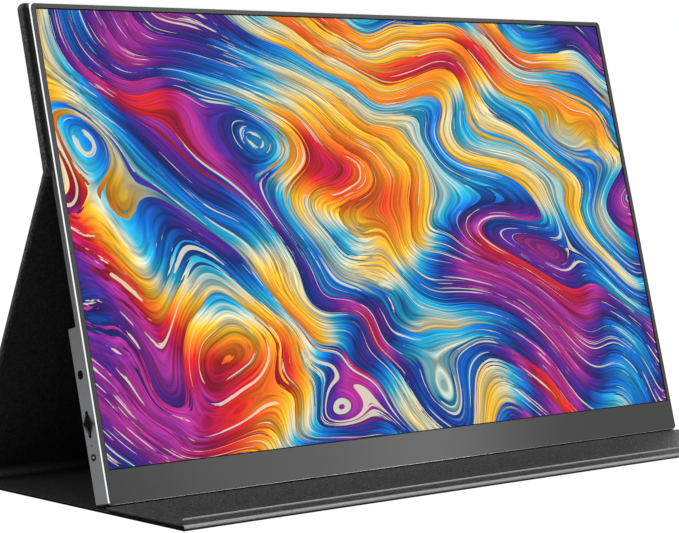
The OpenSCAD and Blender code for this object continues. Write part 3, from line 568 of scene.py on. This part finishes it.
def leatherette(name, tone, depth, roughness, gloss, grain=0.45):
    """Pebble-grained coated cloth: small swollen cells with a fine skin over them."""
    made = Finish(name, gray(tone), roughness, gloss=gloss)
    drift = made.vector("MULTIPLY", made.noise(600, 2, output="Color"), gray(0.0012))
    cell = made.node("TexVoronoi", feature="SMOOTH_F1")
    for key, value in (("Vector", made.vector("ADD", made.place, drift)), ("Scale", 900),
                       ("Smoothness", 0.3)):
        made.feed(cell.inputs[key], value)
    pebble = made.spread(cell.outputs["Distance"], 0.15, 0.75, 1.0, 0.0)
    patches = made.spread(made.noise(420, 3), 0.35, 0.65, 1 - grain, 1 + grain)
    shade = made.math("MULTIPLY", made.spread(pebble, 0, 1, 1 - 1.5 * grain, 1 + grain), patches)
    made.coat = made.mix(1.0, (tone, tone, tone * 1.01), shade, "MULTIPLY")
    made.set("Base Color", made.coat)
    made.set("Roughness", made.spread(pebble, 0, 1, roughness + 0.12, roughness - 0.06))
    made.bump(made.math("MULTIPLY_ADD", made.noise(2600, 3), 0.3, pebble), depth)
    return made


def panel_ring(place, x_half, low, high, corners, inset, level, steps=7):
    """Rounded rectangle, inset from its outline, as places at one level."""
    ring = []
    lower, upper = corners
    for x_side, y_side, start in ((1, -1, -90), (1, 1, 0), (-1, 1, 90), (-1, -1, 180)):
        radius = max((upper if y_side > 0 else lower) - inset, 0.0001)
        x = x_side * (x_half - inset - radius)
        y = (high - inset - radius) if y_side > 0 else (low + inset + radius)
        for i in range(steps):
            angle = math.radians(start + 90 * i / (steps - 1))
            ring.append(place(x + radius * math.cos(angle), y + radius * math.sin(angle), level))
    return ring


def panel(place, low, high, bottom, top, edge, corners=(0.0006, 0.0006), x_half=cover_half):
    """Sheet or wrapped board with rounded edges, laid out by place(x, along, level)."""
    def build(bm):
        turns = [math.pi / 2 * i / 5 for i in range(6)]
        rings = [(edge * (1 - math.sin(a)), bottom + edge * (1 - math.cos(a))) for a in turns]
        rings += [(edge * (1 - math.cos(a)), top - edge * (1 - math.sin(a))) for a in turns]
        loft(bm, [panel_ring(place, x_half, low, high, corners, inset, level)
                  for inset, level in rings])
    return build


def on_upper_panel(x, rise, depth):
    """Place of a point of the upper panel, which lies on the monitor's back."""
    return on_monitor(x, depth, rise)


cover_leather = leatherette("black_leatherette", tone=0.0275, depth=0.0004, roughness=0.42, gloss=0.3)
piece("upper_leather", "monitor", cover_leather,
      panel(on_upper_panel, upper_low, upper_high, bottom=upper_front + 0.0003,
            top=upper_front + upper_thick, edge=0.0009, corners=(0.0006, 0.003)), ("upper_skin",))

soft_lining = leatherette("dark_lining", tone=0.0155, depth=0.0001, roughness=0.85, gloss=0.1,
                          grain=0.2)
piece("upper_lining_sheet", "monitor", soft_lining,
      panel(on_upper_panel, upper_low + 0.001, upper_high - 0.001, bottom=upper_front,
            top=upper_front + 0.0005, edge=0.0002, corners=(0.0006, 0.0022),
            x_half=cover_half - 0.001), ("upper_lining",))

# --- Cover: lower panel -------------------------------------------------------------
# The prop behind the monitor: a thin board wrapped in leatherette, with a round fold at
# each end and a groove at the spine strip. Its glued lining carries a painted highlight, a pale
# band just above the foot.
fold_places = {joint["name"]: Vector(joint["pos_m"]) for joint in frame["joints"]
               if joint["type"] == "hinge"}
rear_axis, crease_axis = fold_places["rear_fold"], fold_places["crease"]
prop_up = (crease_axis - rear_axis).normalized()
prop_out = prop_up.cross(Vector((1, 0, 0)))
prop_reach = (crease_axis - rear_axis).length
fold_radius = rear_axis.z
groove_rise = 0.01135


def on_prop(x, rise, out):
    """Place of a point of the prop: rise from the rear fold to the crease, out to the back."""
    return rear_axis + Vector((x, 0, 0)) + prop_up * rise + prop_out * out


def both_ends(ends):
    """Stations across the whole cover, from (inset, value) pairs for one end."""
    return ([(-cover_half + inset, value) for inset, value in ends]
            + [(cover_half - inset, value) for inset, value in reversed(ends)])


def prop_section(shrink):
    """Section of the prop from fold to fold; shrink draws it in towards its middle plane."""
    radius = fold_radius * shrink
    turns = [math.pi * (i / 10 - 0.5) for i in range(11)]
    foot = [(-radius * math.cos(a), -radius * math.sin(a)) for a in turns]
    head = [(prop_reach + radius * math.cos(a), radius * math.sin(a)) for a in turns]
    groove = [(-0.0009, 1.0), (-0.0003, 0.86), (0.0003, 0.86), (0.0009, 1.0)]
    inner = [(groove_rise + along, -radius * share) for along, share in groove]
    outer = [(rise, -out) for rise, out in reversed(inner)]
    return foot + inner + head + outer


def prop_leather(bm):
    rounding = [(0.0, 0.5), (0.00008, 0.7), (0.00022, 0.85), (0.00045, 0.95), (0.0008, 1.0)]
    loft(bm, [[on_prop(x, rise, out) for rise, out in prop_section(shrink)]
              for x, shrink in both_ends(rounding)])


piece("lower_leather", "lower_panel", cover_leather, prop_leather, ("lower_skin",))

highlight_reach = 0.0075
bent_lining = leatherette("bent_lining", tone=0.0155, depth=0.00006, roughness=0.85, gloss=0.1,
                          grain=0.2)
from_fold = bent_lining.math("SUBTRACT", bent_lining.vector("DOT_PRODUCT", bent_lining.place, prop_up),
                             rear_axis.dot(prop_up))
# Painted highlight: a pale band across the lining just above the rear fold, weaker towards the cover's
# middle.
painted_highlight = bent_lining.ramp(
    bent_lining.spread(from_fold, 0.0, highlight_reach, 0, 1), (0.0, gray(0.1)), (0.14, gray(0.5)),
    (0.32, gray(1.0)), (0.5, gray(0.6)), (0.68, gray(0.2)), (0.9, gray(0.0)))
painted_highlight = bent_lining.math("MULTIPLY", painted_highlight,
                             bent_lining.spread(bent_lining.from_middle(), 0.12, 0.18, 0.2, 1))
bent_lining.set("Base Color", bent_lining.mix(painted_highlight, bent_lining.coat, gray(0.25)))
piece("lower_lining_sheet", "lower_panel", bent_lining,
      panel(on_prop, 0.0, prop_reach - 0.0012, bottom=-0.00108, top=-0.0008, edge=0.0001,
            x_half=cover_half - 0.0016), ("lower_lining",))

# --- Cover: rear fold ---------------------------------------------------------------
# The lining's cloth carries on round the fold between the prop and the base, pulled
# tight over the roll of leatherette and glued to it.
# Painted shade: the cloth over the fold is toned darker than the lining, for the shade in the fold.
fold_shade_cloth = leatherette("rear_fold_shaded_cloth", tone=0.007, depth=0.00003, roughness=0.9, gloss=0.03,
                         grain=0.2)


def rear_fold_cover(bm):
    outer, inner = fold_radius + 0.00005, fold_radius - 0.0002
    turns = [math.radians(180 - 8 * i) for i in range(-12, 15)]
    loft(bm, [[on_prop(x, outer * math.sin(a), outer * math.cos(a)) for a in turns]
              + [on_prop(x, inner * math.sin(a), inner * math.cos(a)) for a in reversed(turns)]
              for x in (-cover_half + 0.0005, cover_half - 0.0005)])


piece("rear_fold_lining", "lower_panel", fold_shade_cloth, rear_fold_cover)

# --- Cover: crease ------------------------------------------------------------------
# The leatherette carries on over the crease, from the prop's skin to the upper panel's.
# It is a soft filled sleeve over the crease.
crease_depth = (crease_axis - front_foot).dot(monitor_back)
crease_rise = (crease_axis - front_foot).dot(monitor_up)
sleeve_radius = fold_radius + 0.00004
seam_depth, seam_rise = upper_front + 0.0002, upper_low - 0.0001


def crease_section():
    """Pairs of an outer and an inner place, from the prop up into the upper panel."""
    outer = [on_prop(0, prop_reach - short, sleeve_radius) for short in (0.0034, 0.0022, 0.001)]
    outer += [crease_axis + prop_out.slerp(monitor_back, i / 10) * sleeve_radius
              for i in range(11)]
    outer += [on_monitor(0, crease_depth + sleeve_radius, crease_rise + rise)
              for rise in (0.001, 0.0022, 0.0034)]
    inner = [on_prop(0, prop_reach - short, -sleeve_radius) for short in (0.0034, 0.0022, 0.0014)]
    prop_end = on_prop(0, prop_reach - 0.0009, -sleeve_radius)
    seam = on_monitor(0, seam_depth, seam_rise)
    inner += [prop_end.lerp(seam, i / 10) for i in range(11)]
    inner += [seam + monitor_up * rise for rise in (0.0006, 0.0014, 0.0022)]
    return list(zip(outer, inner))


def crease_sleeve(bm):
    pairs = crease_section()
    rings = []
    for x, full in both_ends([(0.00005, 0.6), (0.00012, 0.8), (0.0003, 0.93), (0.0007, 1.0)]):
        side, thinned = Vector((x, 0, 0)), (1 - full) / 2
        rings.append([side + back.lerp(front, thinned) for back, front in pairs]
                     + [side + front.lerp(back, thinned) for back, front in reversed(pairs)])
    loft(bm, rings)


crease_leather = piece("crease_leather", None, cover_leather, crease_sleeve,
                       sharp_angle=50)
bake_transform(crease_leather)

# --- Cover: base --------------------------------------------------------------------
# A thin lined board that lies on the table. Its leatherette is painted near black at the
# ends, as painted shade on its rounded edges, and its lining stops short of the front fold.
front_axis = fold_places["flap_fold"]
front_radius = front_axis.z
base_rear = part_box("base_skin")[1].y
shaded_end_width = 0.0004


def lying(x, y, z):
    """Place of a point of a sheet that lies flat on the table."""
    return Vector((x, y, z))


end_shaded_leather = leatherette("end_shaded_leatherette", tone=0.0275, depth=0.0001, roughness=0.5, gloss=0.2)
# Painted shade: the ends of the base are painted near black and lose their gloss.
shaded_ends = end_shaded_leather.math("GREATER_THAN", end_shaded_leather.from_middle(),
                             cover_half - shaded_end_width)
end_shaded_leather.set("Base Color", end_shaded_leather.mix(shaded_ends, end_shaded_leather.coat, gray(0.002)))
end_shaded_leather.set("Specular IOR Level", end_shaded_leather.spread(shaded_ends, 0, 1, 0.3, 0.02))
piece("base_leather", "base", end_shaded_leather,
      panel(lying, front_axis.y - 0.0002, base_rear, bottom=0.0, top=0.00085, edge=0.0004),
      ("base_skin",))
piece("base_lining_sheet", "base", soft_lining,
      panel(lying, front_axis.y + 0.0016, base_rear - 0.00005, bottom=0.0007, top=0.0011,
            edge=0.0001, x_half=cover_half - 0.0014), ("base_lining",))

# --- Cover: front fold --------------------------------------------------------------
# The base's leatherette rolled round a soft filling, where it goes on into the flap. Its
# outside carries a painted highlight, a pale band across its front, and painted shade at its foot.
roll_skin = 0.00045
filling_radius = front_radius - 0.0004


def on_roll(x, radius, degrees):
    """Place on the front roll, by its angle from the rear over the top."""
    angle = math.radians(degrees)
    return front_axis + Vector((x, radius * math.cos(angle), radius * math.sin(angle)))


def front_roll_leather(bm):
    turns = [66 + 7.6 * i for i in range(31)]
    loft(bm, [[on_roll(x, front_radius - cut, a) for a in turns]
              + [on_roll(x, front_radius - roll_skin + cut, a) for a in reversed(turns)]
              for x, cut in both_ends([(0.0, 0.00016), (0.00005, 0.00006), (0.00015, 0.0)])])


def front_roll_filling(bm):
    loft(bm, [[on_roll(x, filling_radius, a) for a in range(0, 360, 12)]
              for x in (-cover_half + 0.0011, cover_half - 0.0011)])


roll_leather_painted_light = leatherette("fold_painted_highlight_and_shade", tone=0.026, depth=0.00012, roughness=0.4, gloss=0.4)
# Painted highlight and shade: pale across the roll's front, near black at its foot, where its gloss is
# also taken away.
height = roll_leather_painted_light.node("SeparateXYZ", roll_leather_painted_light.place).outputs[2]
light_and_shade_band = roll_leather_painted_light.ramp(
    roll_leather_painted_light.spread(height, 0.0, 0.0028, 0, 1), (0.0, gray(0.0)), (0.2, gray(0.01)),
    (0.34, gray(0.12)), (0.5, gray(0.7)), (0.66, gray(1.0)), (0.8, gray(0.85)), (0.92, gray(0.3)),
    (1.0, gray(0.08)))
highlight_tone = roll_leather_painted_light.mix(roll_leather_painted_light.noise(1100, 3), (0.26, 0.26, 0.262), (0.42, 0.42, 0.423))
roll_leather_painted_light.set("Base Color", roll_leather_painted_light.mix(light_and_shade_band, gray(0.003), highlight_tone))
roll_leather_painted_light.set("Specular IOR Level", roll_leather_painted_light.spread(height, 0.0006, 0.0014, 0.0, 0.35))
piece("front_fold_leather", "base", roll_leather_painted_light, front_roll_leather)
piece("front_fold_filling", "base", soft_lining, front_roll_filling)

# --- Cover: front flap --------------------------------------------------------------
# The last panel, folded back over the base with its outer side up. Its leatherette is
# pressed into a raised line near the fold, and a thin strip of it runs round the fold.
flap_start, flap_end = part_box("flap_skin")
line_front, line_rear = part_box("flap_ridge")
line_y = (line_front.y + line_rear.y) / 2
line_half = (line_rear.y - line_front.y) / 2
line_height = line_half * 1.6


def flap_sheet(bm):
    panel(lying, flap_start.y, flap_end.y, bottom=flap_end.z - 0.00045, top=flap_end.z,
          edge=0.0002)(bm)
    panel(lying, flap_start.y + 0.0002, flap_end.y - 0.0002, bottom=flap_start.z + 0.00025,
          top=flap_end.z - 0.0003, edge=0.0002, x_half=cover_half - 0.006)(bm)


def raised_line(bm):
    rings = []
    for x, full in both_ends([(0.0060, 0.15), (0.0062, 0.6), (0.0066, 0.9), (0.0073, 1.0)]):
        half, high = line_half * full, line_height * full
        arch = [Vector((x, line_y - half * 1.1 * math.cos(math.pi * i / 10),
                        flap_end.z + high * math.sin(math.pi * i / 10))) for i in range(11)]
        rings.append(arch + [Vector((x, line_y + side * half * 0.8, flap_end.z - 0.0001))
                             for side in (1, -1)])
    loft(bm, rings)


def fold_strip(bm):
    path = [on_roll(0, front_radius, a) for a in (112, 106, 100, 95)]
    path += [Vector((0, front_axis.y + 0.0022 * i / 24, flap_end.z)) for i in range(25)]
    half, thick = cover_half - 0.0002, 0.0001
    rings = []
    for before, spot, after in zip([path[0]] + path, path, path[1:] + [path[-1]]):
        out = Vector((1, 0, 0)).cross((after - before).normalized())
        rings.append([spot + out * lift + Vector((x, 0, 0)) for x, lift in (
            (-half, -thick), (half, -thick), (half, thick / 2), (-half, thick / 2))])
    loft(bm, rings)


piece("flap_leather", "flap", cover_leather, flap_sheet, ("flap_skin",))
piece("flap_lining_sheet", "flap", soft_lining,
      panel(lying, flap_start.y + 0.0004, flap_end.y - 0.0006, bottom=flap_start.z,
            top=flap_start.z + 0.0003, edge=0.0001, x_half=cover_half - 0.003), ("flap_lining",))

# Painted highlight: the raised line is painted pale grey, for the light along its crest.
painted_line_highlight = Finish("painted_line_highlight", gray(0.17), 0.34)
painted_line_highlight.mottle(700, 3, (0.22, 0.22, 0.222), (0.32, 0.32, 0.323))
painted_line_highlight.bump(painted_line_highlight.noise(2400, 3), 0.00004, 0.6)
piece("flap_raised_line", "flap", painted_line_highlight, raised_line, ("flap_ridge",))

fold_leather = piece("flap_fold_leather", None, cover_leather, fold_strip,
                     sharp_angle=60)
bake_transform(fold_leather)
